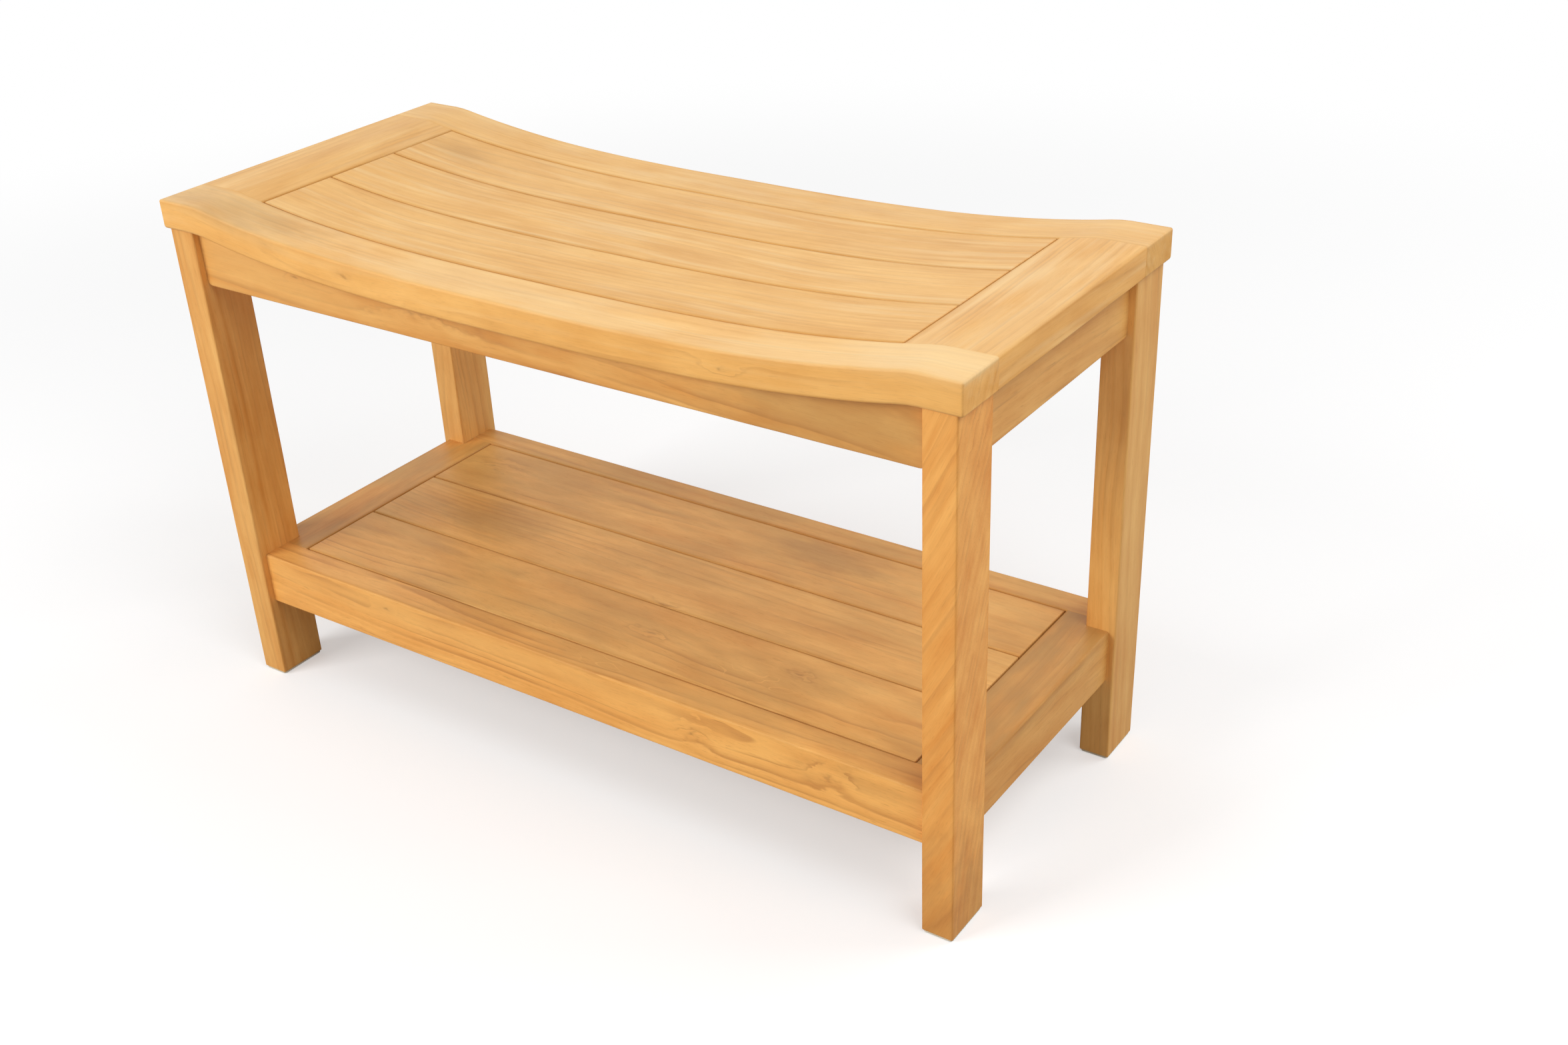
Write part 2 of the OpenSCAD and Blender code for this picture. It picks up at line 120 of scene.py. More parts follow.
FAR = (9.0, 9.0, 9.0)  # a knot or stain so far away that it doesn't show


class Section(NamedTuple):
    """One section across a board: its place along the grain, its sides and its four arris radii,
    and how far it lies into a rounded end."""

    u: float
    a0: float
    a1: float
    b0: float
    b1: float
    radii: tuple
    end: float = 0.0


class Mark(NamedTuple):
    """A knot, stain, bleached patch or scratches: the middle (u, a, b) in the board's axes and the
    half sizes along them, in mm."""

    middle: tuple
    size: tuple


class Sawn(NamedTuple):
    """How a board was sawn and used: the heart of its log from the board's middle in mm, the slope of
    its grain, how strongly its tone, growth rings, pale streaks and warm colour show, how worn its
    upper face is, and its knots, its grey stain, its bleached patch and its scratches."""

    heart: tuple = (90, -60)
    slope: tuple = (0.004, 0.010)
    tone: float = 0.5
    figure: float = 0.5
    streaks: float = 0.3
    warmth: float = 0.0
    wear: float = 0.0
    knots: tuple = ()
    stain: Mark = None
    bleach: Mark = None
    scratch: Mark = None


def even_places(low, high, joint=None):
    """Places from low to high, evenly spaced, with a narrow pair at each joint."""
    count = max(1, math.ceil((high - low) / PLACE_STEP))
    places = [low + (high - low) * i / count for i in range(count + 1)]
    if joint:
        places += [side * (joint + step) for side in (-1, 1) for step in (-JOINT_STEP, JOINT_STEP)]
    return sorted(places)


def side_places(low, high, cells):
    """Places along one side of a section, with a narrow strip next to each arris."""
    strip = math.copysign(min(ARRIS_STRIP, abs(high - low) / 4), high - low)
    return [low + strip + (high - low - 2 * strip) * i / cells for i in range(cells + 1)]


def section_ring(section, cells):
    """Points round a section as (a, b, outward a, outward b, arris), from the low a, low b corner."""
    corners = (
        (section.a0, section.b0, 1, 1),
        (section.a1, section.b0, -1, 1),
        (section.a1, section.b1, -1, -1),
        (section.a0, section.b1, 1, -1),
    )
    centres = [(a + in_a * r, b + in_b * r) for (a, b, in_a, in_b), r in zip(corners, section.radii)]
    points = []
    for i, (a, b) in enumerate(centres):
        r = section.radii[i]
        for k in range(ARRIS_STEPS + 1):
            turn = math.pi * (1 + i / 2 + k / (2 * ARRIS_STEPS))
            out = (math.cos(turn), math.sin(turn))
            # How much of an arris a point is: it sets the arris's painted shade and roughness
            worn = 0.5 if k in (0, ARRIS_STEPS) else 1.0
            points.append((a + r * out[0], b + r * out[1], *out, worn))
        next_a, next_b = centres[(i + 1) % 4]
        if i % 2 == 0:
            out_b = i - 1
            points += [(place, b + out_b * r, 0, out_b, 0.0) for place in side_places(a, next_a, cells[0])]
        else:
            out_a = 2 - i
            points += [(a + out_a * r, place, out_a, 0, 0.0) for place in side_places(b, next_b, cells[1])]
    return points


def end_arris(section, outward, radius, free=(1, 1, 1, 1)):
    """Sections that round off an end by a radius, on the sides (a0, a1, b0, b1) that stand free."""
    made = []
    for step in range(1, ARRIS_STEPS + 1):
        turn = math.radians(90 * step / ARRIS_STEPS)
        inset = radius * (1 - math.cos(turn))
        made.append(Section(
            section.u + outward * radius * math.sin(turn),
            section.a0 + inset * free[0],
            section.a1 - inset * free[1],
            section.b0 + inset * free[2],
            section.b1 - inset * free[3],
            tuple(max(r - inset, BUTT_ARRIS) for r in section.radii),
            step / ARRIS_STEPS,
        ))
    return made[::outward]


def rounded_off(sections, radius, free=(1, 1, 1, 1)):
    """The sections of a board with both its ends rounded off."""
    low = end_arris(sections[0], -1, radius, free)
    return low + sections + end_arris(sections[-1], 1, radius, free)


def worn_radii(radii, u, seed):
    """Arris radii at one place, uneven as sanding by hand leaves them. The seed differs by board."""
    return tuple(
        r * (1 + ARRIS_UNEVEN * noise.noise(Vector((u * ARRIS_RHYTHM, seed * SEED_STEP + i, 0))))
        for i, r in enumerate(radii)
    )


def handed(side, radii):
    """The radii of a board on the low side of the bench, mirrored for the one on its high side."""
    return radii if side < 0 else (radii[1], radii[0], radii[3], radii[2])


def in_row(along, u, a, b):
    """A board's own (u, a, b) as a point in the row frame."""
    return Vector({"X": (u, a, b), "Y": (a, u, b), "Z": (a, b, u)}[along])


def lofted(rings, count, start=0):
    """Faces of a body lofted through rings of count points each, with a cap at either end."""
    last = start + (rings - 1) * count
    faces = [tuple(range(start, start + count))[::-1]]
    for first in range(start, last, count):
        for k in range(count):
            here, there = first + k, first + (k + 1) % count
            faces.append((here, there, there + count, here + count))
    return faces + [tuple(range(last, last + count))]


def board(node, along, sections, slot, cells, saddled=False, seams=(0, 0, 0), gap_end=1.0):
    """Lofts one board through its sections and dresses it in place of its CAD node. Seams tells which
    of its low side, high side and ends stand in a narrow gap, which is greyed there as painted shade
    and dirt, and gap_end how far the gap reaches from the middle."""
    sawn = SAWN[node]
    seed = sum(ord(letter) for letter in node) % 97
    middle_a = (sections[0].a0 + sections[0].a1) / 2
    middle_b = (sections[0].b0 + sections[0].b1) / 2
    marks = dict.fromkeys(KNOTS)
    marks.update(zip(KNOTS, sawn.knots))
    marks.update(stain=sawn.stain, bleach=sawn.bleach, scratch=sawn.scratch)
    points, layers = [], {}
    for section in sections:
        for a, b, out_a, out_b, worn in section_ring(section, cells):
            raw = in_row(along, section.u, a, b)
            wave = 0.5 + 0.5 * noise.noise(raw / FACE_WAVELENGTH + Vector((seed, 0, 0)))
            sunk = FACE_HOLLOW * wave * (1 - section.end)
            point = in_row(along, section.u, a - out_a * sunk, b - out_b * sunk)
            if saddled:
                point.z += saddle_z(point.x)
            points.append(point)
            place = (section.u, a - middle_a, b - middle_b)
            # Sides that stand in a gap get painted shade and dirt there
            sideways = max(abs(out_a), worn) * (seams[0] if a < middle_a else seams[1])
            upper = max(out_b, 0) if along != "Z" else 0
            values = {
                "wood": (
                    section.u + seed * LOG_STEP,
                    place[1] - sawn.heart[0] * MM + sawn.slope[0] * section.u,
                    place[2] - sawn.heart[1] * MM + sawn.slope[1] * section.u,
                ),
                "sawn": (sawn.tone, sawn.figure, sawn.streaks),
                # Upper faces lose part of their warm colour: painted sheen
                "used": (sawn.wear * upper, sawn.warmth * (1 - SUN_COOLED * upper), 0),
                "arris": worn * (1 - (1 - ARRIS_LEFT) * section.end),
                "end_grain": section.end,
                "seam": max(sideways if abs(section.u) < gap_end else 0, section.end * seams[2]),
            }
            for name, mark in marks.items():
                values[name] = from_mark(mark, place) if mark else FAR
            for name, value in values.items():
                layers.setdefault(name, []).append(value)

    mesh = bpy.data.meshes.new(node + "_board")
    mesh.from_pydata(points, [], lofted(len(sections), len(points) // len(sections)))
    for name, values in layers.items():
        put_attribute(mesh, name, values)
    dress(node, mesh, teak(slot))


def from_mark(mark, place):
    """A point as seen from a mark's middle, in units of the mark's half sizes."""
    return tuple((p - m * MM) / (s * MM) for p, m, s in zip(place, mark.middle, mark.size))


def put_attribute(mesh, name, values):
    """Stores a number or a vector for each vertex as a mesh attribute that a material can read."""
    if isinstance(values[0], tuple):
        layer = mesh.attributes.new(name, "FLOAT_VECTOR", "POINT")
        layer.data.foreach_set("vector", [part for value in values for part in value])
    else:
        layer = mesh.attributes.new(name, "FLOAT", "POINT")
        layer.data.foreach_set("value", values)


def placed(name, data, place=Matrix()):
    """A new object in the scene."""
    thing = bpy.data.objects.new(name, data)
    thing.matrix_world = place
    bpy.context.scene.collection.objects.link(thing)
    return thing


def dress(node, mesh, material):
    """Closes a mesh, smooths it up to its hard edges and puts it in place of its CAD node."""
    work = bmesh.new()
    work.from_mesh(mesh)
    bmesh.ops.remove_doubles(work, verts=work.verts, dist=0.002 * MM)
    bmesh.ops.dissolve_degenerate(work, edges=work.edges, dist=0.001 * MM)
    bmesh.ops.recalc_face_normals(work, faces=work.faces)
    for face in work.faces:
        face.smooth = True
    for edge in work.edges:
        edge.smooth = edge.calc_face_angle(0) < SHARP
    work.to_mesh(mesh)
    work.free()
    mesh.materials.append(material)
    piece = placed(node + "_dressed", mesh)
    piece.modifiers.new("Keep faces flat", "WEIGHTED_NORMAL").keep_sharp = True
    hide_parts(node)
    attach(piece, "root")


# ---- How each board was sawn ----
# Heart, slope, tone and figure come first. Places of knots and stains are (along, across, through) from
# the board's middle, in mm, and along a leg they count from the floor.

SAWN = {
    "seat_front_rail": Sawn(
        (75, -30), (0.006, 0.012), 0.26, 0.3, warmth=0.4, wear=0.14,
        knots=(Mark((190, -24, -1), (14, 6, 4)), Mark((-172, -24, 2), (10, 6, 3))),
        stain=Mark((-318, -4, 14), (95, 34, 14)), bleach=Mark((350, 4, 15), (85, 40, 11)),
    ),
    "seat_rear_rail": Sawn(
        (-85, -40), (0.003, 0.008), 0.44, 0.25, wear=0.1, bleach=Mark((345, 0, 22), (100, 40, 12)),
    ),
    "seat_left_end_rail": Sawn((60, -70), (0.01, 0.015), 0.52, 0.3, wear=0.05),
    "seat_right_end_rail": Sawn(
        (-90, -45), (0.012, 0.01), 0.5, 0.45, streaks=0.5, warmth=0.3, wear=0.12,
    ),
    "seat_front_slat": Sawn((110, -50), (0.005, 0.01), 0.42, 0.25, streaks=0.45, wear=0.04),
    "seat_middle_slat": Sawn(
        (-80, -65), (0.004, 0.012), 0.4, 0.25, streaks=0.6, wear=0.04,
        knots=(Mark((41, -44, 12), (12, 6, 6)),),
    ),
    "seat_rear_slat": Sawn(
        (70, -75), (0.006, 0.008), 0.48, 0.3, streaks=0.5, wear=0.04,
        stain=Mark((-268, 6, 0), (48, 20, 22)),
    ),
    "front_left_leg": Sawn((60, 50), (0.02, 0.01), 0.56, 0.4, warmth=0.2),
    "front_right_leg": Sawn(
        (30, 180), (-0.48, -0.05), 0.5, 0.36, warmth=0.78,
        # Its grey stain covers the foot on every side, so the leg is darker towards the floor
        knots=(Mark((425, 21.5, 4), (30, 8, 16)),), stain=Mark((0, 0, 0), (100, 60, 70)),
    ),
    "rear_left_leg": Sawn((-50, 60), (0.012, 0.02), 0.5, 0.4),
    "rear_right_leg": Sawn(
        (70, 40), (0.015, 0.012), 0.55, 0.35, bleach=Mark((250, 16.5, 0), (260, 8, 30)),
    ),
    "front_apron": Sawn(
        (45, 12), (0.01, 0.03), 0.56, 0.6, warmth=0.2,
        knots=(Mark((-105, -10, -6), (40, 8, 5)), Mark((-240, -10, 1), (8, 6, 3))),
        # The grey stain on its right is painted shade under the seat's overhang
        bleach=Mark((-260, -10, 0), (130, 20, 40)), stain=Mark((290, -10, 0), (120, 20, 40)),
    ),
    "rear_apron": Sawn((-60, 10), (0.01, 0.012), 0.58),
    "left_apron": Sawn((50, 20), (0.01, 0.02), 0.55),
    "right_apron": Sawn((-40, 18), (0.02, 0.09), 0.58, 0.6),
    "shelf_front_rail": Sawn(
        (10, 14), (0.004, 0.01), 0.42, 0.8, warmth=0.75, wear=0.2,
        knots=(
            Mark((138, -14, 0), (13, 12, 10)), Mark((-201, -14, 13), (10, 6, 4)),
            Mark((266, -14, 4), (14, 12, 10)),
        ),
        stain=Mark((310, 16, 12), (130, 30, 36)), bleach=Mark((-130, -14, 13), (280, 15, 13)),
        scratch=Mark((33, 2, 24), (26, 12, 8)),
    ),
    "shelf_rear_rail": Sawn((-60, -20), (0.006, 0.01), 0.55, 0.4, wear=0.25),
    "shelf_left_end_rail": Sawn((55, -50), (0.01, 0.01), 0.66, 0.4, warmth=0.2, wear=0.35),
    "shelf_right_end_rail": Sawn(
        (-70, -40), (0.015, 0.012), 0.7, warmth=0.1, wear=0.45,
        stain=Mark((10, 5, 24), (230, 60, 14)),
    ),
    "shelf_front_slat": Sawn(
        (20, -85), (0.03, 0.016), 0.42, 0.7, streaks=0.45, wear=0.22,
        knots=(Mark((186, 12, 9), (16, 8, 7)), Mark((40, 3, 9), (22, 4, 5))),
        scratch=Mark((155, -10, 9), (45, 12, 8)),
    ),
    "shelf_middle_slat": Sawn(
        (-80, -70), (0.006, 0.012), 0.32, streaks=0.5, wear=0.19,
        knots=(Mark((24, -40, 9), (14, 6, 6)),), bleach=Mark((20, -34, 9), (130, 12, 12)),
        stain=Mark((-212, 4, 9), (60, 30, 30)),
    ),
    "shelf_rear_slat": Sawn(
        (30, -80), (0.01, 0.014), 0.46, streaks=0.45, wear=0.21,
        knots=(Mark((-285, 5, 9), (30, 14, 6)),), stain=Mark((110, 18, 9), (65, 30, 30)),
    ),
    "seat_batten": Sawn((60, 50), tone=0.6),
    "shelf_batten": Sawn((-60, 50), tone=0.6),
}

# ---- Materials ----


class Grain(NamedTuple):
    """Noise drawn out along the grain: its length and width in mm, its detail and a shift that sets it
    apart from the others. Its mask goes from least, where the noise is at start, to most at full."""

    length: float
    width: float
    detail: float
    shift: float
    start: float = 0
    full: float = 1
    least: float = 0
    most: float = 1


WANDER = Grain(330, 120, 1, 0)  # the slow bend of a log
RIPPLE = Grain(60, 30, 2, 5)
BURL = Grain(17, 8, 2, 6)  # makes knots uneven
FRAY = Grain(40, 14, 3, 9)  # makes the rims of stains uneven
PATCHES = Grain(260, 45, 2, 2)
CLOUDS = Grain(60, 18, 3, 4)
RING_FADE = Grain(150, 14, 1, 11, 0.38, 0.66)
FIBRES = Grain(45, 1.1, 2, 0, 0.42, 0.75)  # several times coarser than real fibres, which wouldn't show
VESSELS = Grain(11, 0.55, 1, 3, 0.60, 0.71)  # about 0.25 mm wide in teak: drawn wider so that they show
CHECKS = Grain(38, 1.5, 2, 15, 0.68, 0.77, most=0.4)
BROAD_STREAKS = Grain(190, 8, 1, 7, 0.48, 0.72, most=0.42)
FINE_STREAKS = Grain(45, 1.8, 1, 8, 0.66, 0.76, most=0.21)
TRODDEN = Grain(95, 32, 3, 13, 0.32, 0.66, 0.15, 1.85)
SCRATCHES = Grain(20, 9, 0, 17)
SCRATCH_LEVEL, SCRATCH_WIDTH = 0.5, 0.022  # scratches run where their noise has this value

WANDER_REACH = (0, 22 * MM, 22 * MM)
RIPPLE_REACH = (0, 2.4 * MM, 2.4 * MM)
BURL_REACH = (2.2, 2.2, 2.2)  # in half sizes of the knot
KNOT_LIFT = 5 * MM  # how far a knot pushes the rings aside
KNOT_RATES = (-0.5, -9.0)  # how its swirl and its dark core fade away from its middle
KNOT_RINGS = 0.7  # how strongly the rings show in its swirl
RING_SPACING = 5.5 * MM  # plantation teak grows about this much in a year
YEAR = ((0.15, 0.86, 0.55), (0.62, 0.88, 0.45), (1.0, 0.88, 1.0))  # a ring's rise, its line, its end
MARKS = {  # where a mark starts and is full, in half sizes, its strength and how frayed it is
    "bleach": (1.4, 0.0, 0.35, 0.0),
    "scratch": (1.2, 0.4, 0.42, 0.0),
    "stain": (1.35, 0.2, 0.34, 1.6),
}
WARM = (1.20, 1.02, 0.80, 1.0)  # what the warmest boards multiply their colour by
TEAKS = {  # for each slot: its golden, bleached and worn wood, and how dark its vessels stand
    "seat_teak": ("seat", "seat_worn", "seat_worn", 0.14),
    "frame_teak": ("frame", "pale", "seat_worn", 0.16),
    "shelf_teak": ("shelf", "pale", "shelf_worn", 0.24),
    "batten_teak": ("shelf", "pale", "shelf_worn", 0.24),
}


def linear(code):
    """An sRGB hex colour as linear RGBA."""
    parts = [int(code[i:i + 2], 16) / 255 for i in (1, 3, 5)]
    return (*[p / 12.92 if p <= 0.04045 else ((p + 0.055) / 1.055) ** 2.4 for p in parts], 1.0)


def add_node(tree, kind, inputs, **settings):
    """Adds a node with its settings. Inputs go by name, or in order, and each takes a value, another
    node or one of its outputs."""
    made = tree.nodes.new("ShaderNode" + kind)
    for name, value in settings.items():
        setattr(made, name, value)
    sockets = [socket for socket in made.inputs if socket.enabled]
    for key, value in inputs.items() if isinstance(inputs, dict) else enumerate(inputs):
        target = sockets[key] if isinstance(key, int) else next(s for s in sockets if s.name == key)
        if isinstance(value, bpy.types.Node):
            value = next(socket for socket in value.outputs if socket.enabled)
        if isinstance(value, bpy.types.NodeSocket):
            tree.links.new(value, target)
        else:
            target.default_value = value
    return made


def adder(owner):
    """Empties the node tree of a new material or world, and gives the function that adds nodes to it."""
    owner.use_nodes = True
    owner.node_tree.nodes.clear()
    return partial(add_node, owner.node_tree)


def grained(add, place, grain):
    """Noise that is long along the grain and narrow across it."""
    density = [1 / (size * MM) for size in (grain.length, grain.width, grain.width)]
    shift = (grain.shift, grain.shift, -grain.shift)
    moved = add("VectorMath", [place, density, shift], operation="MULTIPLY_ADD")
    return add("TexNoise", {"Vector": moved, "Scale": 1, "Detail": grain.detail, "Roughness": 0.55})


def unrest(add, place, grain):
    """Noise about zero in all three axes, which pushes a place aside."""
    colour = grained(add, place, grain).outputs["Color"]
    return add("VectorMath", [colour, (0.5, 0.5, 0.5)], operation="SUBTRACT")


SOFT = {"interpolation_type": "SMOOTHSTEP"}  # a mask that starts and ends softly


def masked(add, place, grain):
    """Where a grain shows: a soft step of its noise."""
    span = [grained(add, place, grain), grain.start, grain.full, grain.least, grain.most]
    return add("MapRange", span, **SOFT)


def summed(add, total, parts):
    """A total, and each value of the parts added to it by its share."""
    for value, share in parts:
        total = add("Math", [value, share, total], operation="MULTIPLY_ADD")
    return total


def laid(add, colour, layers):
    """A colour with others laid over it, each where its mask shows, as strongly as its share."""
    for mask, share, over in layers:
        shown = add("Math", [mask, share], operation="MULTIPLY")
        colour = add("Mix", {"Factor": shown, "A": colour, "B": over}, data_type="RGBA")
    return colour


def surfaced(add, colour, rough, height, depth, strength, **shader):
    """Ends a material with its colour, its roughness and a relief of a depth and strength."""
    relief = add("Bump", {"Height": height, "Distance": depth, "Strength": strength})
    surface = {"Base Color": colour, "Roughness": rough, "Normal": relief, **shader}
    add("OutputMaterial", {"Surface": add("BsdfPrincipled", surface)})


def bent_grain(add, wood):
    """Log coordinates bent by a slow wander and a short ripple."""
    bent = wood
    for grain, reach in ((WANDER, WANDER_REACH), (RIPPLE, RIPPLE_REACH)):
        bent = add("VectorMath", [unrest(add, wood, grain), reach, bent], operation="MULTIPLY_ADD")
    return bent


def knotted(add, wood, radius, knots):
    """The radius with the rings lifted round each knot, the knots' dark cores, and the swirl in which
    the rings show round them."""
    burl = unrest(add, wood, BURL)
    core = swirl = 0
    for knot in knots:
        away = add("VectorMath", [burl, BURL_REACH, knot], operation="MULTIPLY_ADD")
        squared = add("VectorMath", [away, away], operation="DOT_PRODUCT").outputs["Value"]
        fading = [add("Math", [squared, rate], operation="MULTIPLY") for rate in KNOT_RATES]
        near, tight = (add("Math", [power], operation="EXPONENT") for power in fading)
        radius = summed(add, radius, [(near, KNOT_LIFT)])
        core = add("Math", [core, tight], operation="ADD")
        swirl = add("Math", [swirl, near], operation="MAXIMUM")
    return radius, core, swirl


def late_wood(add, year):
    """A thin dark line at the end of each year, with a little colour leading up to it. Good and poor
    years make the rings wider and narrower."""
    weather = add("TexNoise", {"W": year, "Scale": 0.8, "Detail": 2}, noise_dimensions="1D")
    season = add("Math", [summed(add, year, [(weather, 1.1)])], operation="FRACT")
    rise, line, end = (
        add("MapRange", [season, start, full, 0, most], **SOFT) for start, full, most in YEAR
    )
    late = add("Math", [rise, line], operation="ADD")
    return add("Math", [late, end], operation="MULTIPLY")


def marked(add, wood, given):
    """Where a bleached patch, scratches and a grey mark with a frayed rim lie on the board."""
    fray = unrest(add, wood, FRAY)
    marks = {}
    for mark, (start, full, most, frayed) in MARKS.items():
        away = [fray, (frayed, frayed, 0), given[mark]["Vector"]]
        away = add("VectorMath", away, operation="MULTIPLY_ADD")
        away = add("VectorMath", [away], operation="LENGTH").outputs["Value"]
        marks[mark] = add("MapRange", [away, start, full, 0, most], **SOFT)
    return marks


def planed_teak(name, golden, sun, worn, vessel_depth):
    """Teak, planed, sanded and oiled: golden wood with soft darker year rings, short dark vessels
    and a satin surface that rises a little with the grain. Its arrises are rougher, and a little darker
    as painted shade. Its vessels stand darkest where they are least worn."""
    finish = bpy.context.scene.bench_finish
    material = bpy.data.materials.new(name)
    add = adder(material)
    given = {
        layer: add("Attribute", {}, attribute_name=layer).outputs
        for layer in ("wood", "sawn", "used", "arris", "end_grain", "seam", *KNOTS, *MARKS)
    }
    wood, arris, end_grain = given["wood"]["Vector"], given["arris"]["Fac"], given["end_grain"]["Fac"]
    tone, figure, streaks = add("SeparateXYZ", [given["sawn"]["Vector"]]).outputs
    trodden, warmth = add("SeparateXYZ", [given["used"]["Vector"]]).outputs[:2]

    # Year rings round the heart of the log, and round the knots
    bent = bent_grain(add, wood)
    flat = add("VectorMath", [bent, (0, 1, 1)], operation="MULTIPLY")
    radius = add("VectorMath", [flat], operation="LENGTH").outputs["Value"]
    radius, core, swirl = knotted(add, wood, radius, [given[knot]["Vector"] for knot in KNOTS])
    year = add("Math", [radius, 1 / RING_SPACING], operation="MULTIPLY")
    late = late_wood(add, year)
    rings = add("Math", [late, masked(add, wood, RING_FADE)], operation="MULTIPLY")
    rings_shown = add("Math", [rings, figure], operation="MULTIPLY")
    swirl = add("Math", [late, swirl], operation="MULTIPLY")
    swirl = add("Math", [swirl, KNOT_RINGS], operation="MULTIPLY")
    rings_shown = add("Math", [rings_shown, swirl], operation="MAXIMUM")

    # Tone drifts over the board, in small clouds and from year to year, about its middle of one half
    bands = add("TexNoise", {"W": year, "Scale": 1.1, "Detail": 2}, noise_dimensions="1D")
    drifts = [(grained(add, wood, PATCHES), 1.0), (grained(add, bent, CLOUDS), 1.1), (bands, 0.65)]
    middle = sum(share for _, share in drifts) / 2
    depth = add("Math", [summed(add, tone, drifts), -middle], operation="ADD", use_clamp=True)

    # Fibres, vessels, a few hair-fine dark checks, and worn streaks
    fibres = grained(add, bent, FIBRES)
    vessels = add("Math", [masked(add, bent, VESSELS), vessel_depth], operation="MULTIPLY")
    streak = [masked(add, bent, BROAD_STREAKS), masked(add, bent, FINE_STREAKS)]
    streak = add("Math", streak, operation="MAXIMUM")

    # Marks, hair-fine scratches, and the painted shade and dirt beside the gaps
    marks = marked(add, wood, given)
    scratches = [grained(add, wood, SCRATCHES), SCRATCH_LEVEL, SCRATCH_WIDTH]
    scratches = add("Math", scratches, operation="COMPARE")
    seam = add("MapRange", [given["seam"]["Fac"]], **SOFT)

    colour = laid(add, finish.pale, [
        (depth, 1, golden),
        (rings_shown, 0.62, finish.brown),
        (masked(add, bent, FIBRES), 0.07, finish.brown),
        (vessels, 1, finish.brown),
        (masked(add, bent, CHECKS), figure, finish.knot),
        (streak, streaks, sun),
    ])
    # Warm colour, cut back on upper faces as painted sheen
    heartwood = {"Factor": warmth, "A": colour, "B": WARM}
    colour = add("Mix", heartwood, data_type="RGBA", blend_type="MULTIPLY")
    colour = laid(add, colour, [
        (marks["bleach"], 1, sun),
        (masked(add, bent, TRODDEN), trodden, worn),
        (scratches, marks["scratch"], sun),
        (core, 0.40, finish.knot),
        (marks["stain"], 1, finish.grey),
        # A little brown on the arrises: painted shade
        (arris, 0.10, finish.brown),
        (end_grain, 0.12, finish.brown),
        # Grey in the gaps: painted shade, with some dirt
        (seam, 0.16, finish.grey),
    ])

    # Satin surface: vessels and fibres are rougher and lie a little lower
    rough = summed(add, 0.36, [(fibres, 0.16), (vessels, 0.3), (end_grain, 0.18), (arris, 0.25)])
    height = summed(add, 0, [(fibres, -0.8), (vessels, -1.2), (rings, 0.5)])
    surfaced(add, colour, rough, height, 0.08 * MM, 0.5, IOR=1.48)
    return material


def teak(slot):
    """The teak of a slot, made once from the finish settings."""
    golden, sun, worn, vessel_depth = TEAKS[slot]
    name = "planed_teak_" + golden
    if name not in bpy.data.materials:
        colours = [getattr(bpy.context.scene.bench_finish, colour) for colour in (golden, sun, worn)]
        planed_teak(name, *colours, vessel_depth)
    return bpy.data.materials[name]


def moulded_nylon(name, code):
    """Nylon, injection moulded: cream, dull and faintly grained, like the spark-eroded mould."""
    material = bpy.data.materials.new(name)
    add = adder(material)
    place = add("TexCoord", {}).outputs["Object"]
    grain = add("TexNoise", {"Vector": place, "Scale": 1 / (0.6 * MM), "Detail": 2})
    cloud = add("TexNoise", {"Vector": place, "Scale": 1 / (12 * MM), "Detail": 1})
    soiled = add("MapRange", [cloud, 0.4, 0.7], **SOFT)
    colour = laid(add, linear(code), [(soiled, 0.3, linear("#B9A98A"))])
    surfaced(add, colour, summed(add, 0.5, [(grain, 0.15)]), grain, 0.05 * MM, 0.5, IOR=1.53)
    return material


def turned_stainless(name, code):
    """Stainless steel, turned and pickled: grey, unevenly dull and very faintly rough."""
    material = bpy.data.materials.new(name)
    add = adder(material)
    place = add("TexCoord", {}).outputs["Object"]
    grain = add("TexNoise", {"Vector": place, "Scale": 1 / (0.4 * MM), "Detail": 2})
    colour = laid(add, linear(code), [(grain, 1, linear("#A9ABAA"))])
    surfaced(add, colour, summed(add, 0.22, [(grain, 0.2)]), grain, 0.02 * MM, 0.4, Metallic=1)
    return material


# ---- Settings ----

POWER = {"min": 0, "max": 200, "subtype": "POWER", "unit": "POWER"}


def radius_setting(name, description, default, low, high):
    """A radius that a user can change, with its default and range in mm."""
    return bpy.props.FloatProperty(
        name=name, description=description, default=default * MM, min=low * MM, max=high * MM,
        subtype="DISTANCE", unit="LENGTH", precision=4)


def colour_setting(name, description, code):
    """A colour that a user can change, with its default as an sRGB hex code."""
    return bpy.props.FloatVectorProperty(
        name=name, description=description, default=linear(code), min=0, max=1, size=4, subtype="COLOR")


class BenchSizes(bpy.types.PropertyGroup):
    """Sizes of the hand work, which the frame leaves square."""

    seat_arris: radius_setting("Seat arris", "Radius of the seat's outer upper edges", 1.8, 0.5, 6)
    seat_under_arris: radius_setting(
        "Seat under arris", "Radius of the seat's outer lower edges", 2.8, 0.5, 6)
    slat_arris: radius_setting("Slat arris", "Radius of the edges beside the slats' gaps", 0.9, 0.3, 3)
    leg_arris: radius_setting("Leg arris", "Radius of the legs' long edges", 1.5, 0.5, 5)
    rail_arris: radius_setting(
        "Rail arris", "Radius of the long edges of aprons and shelf rails", 1.6, 0.5, 4)


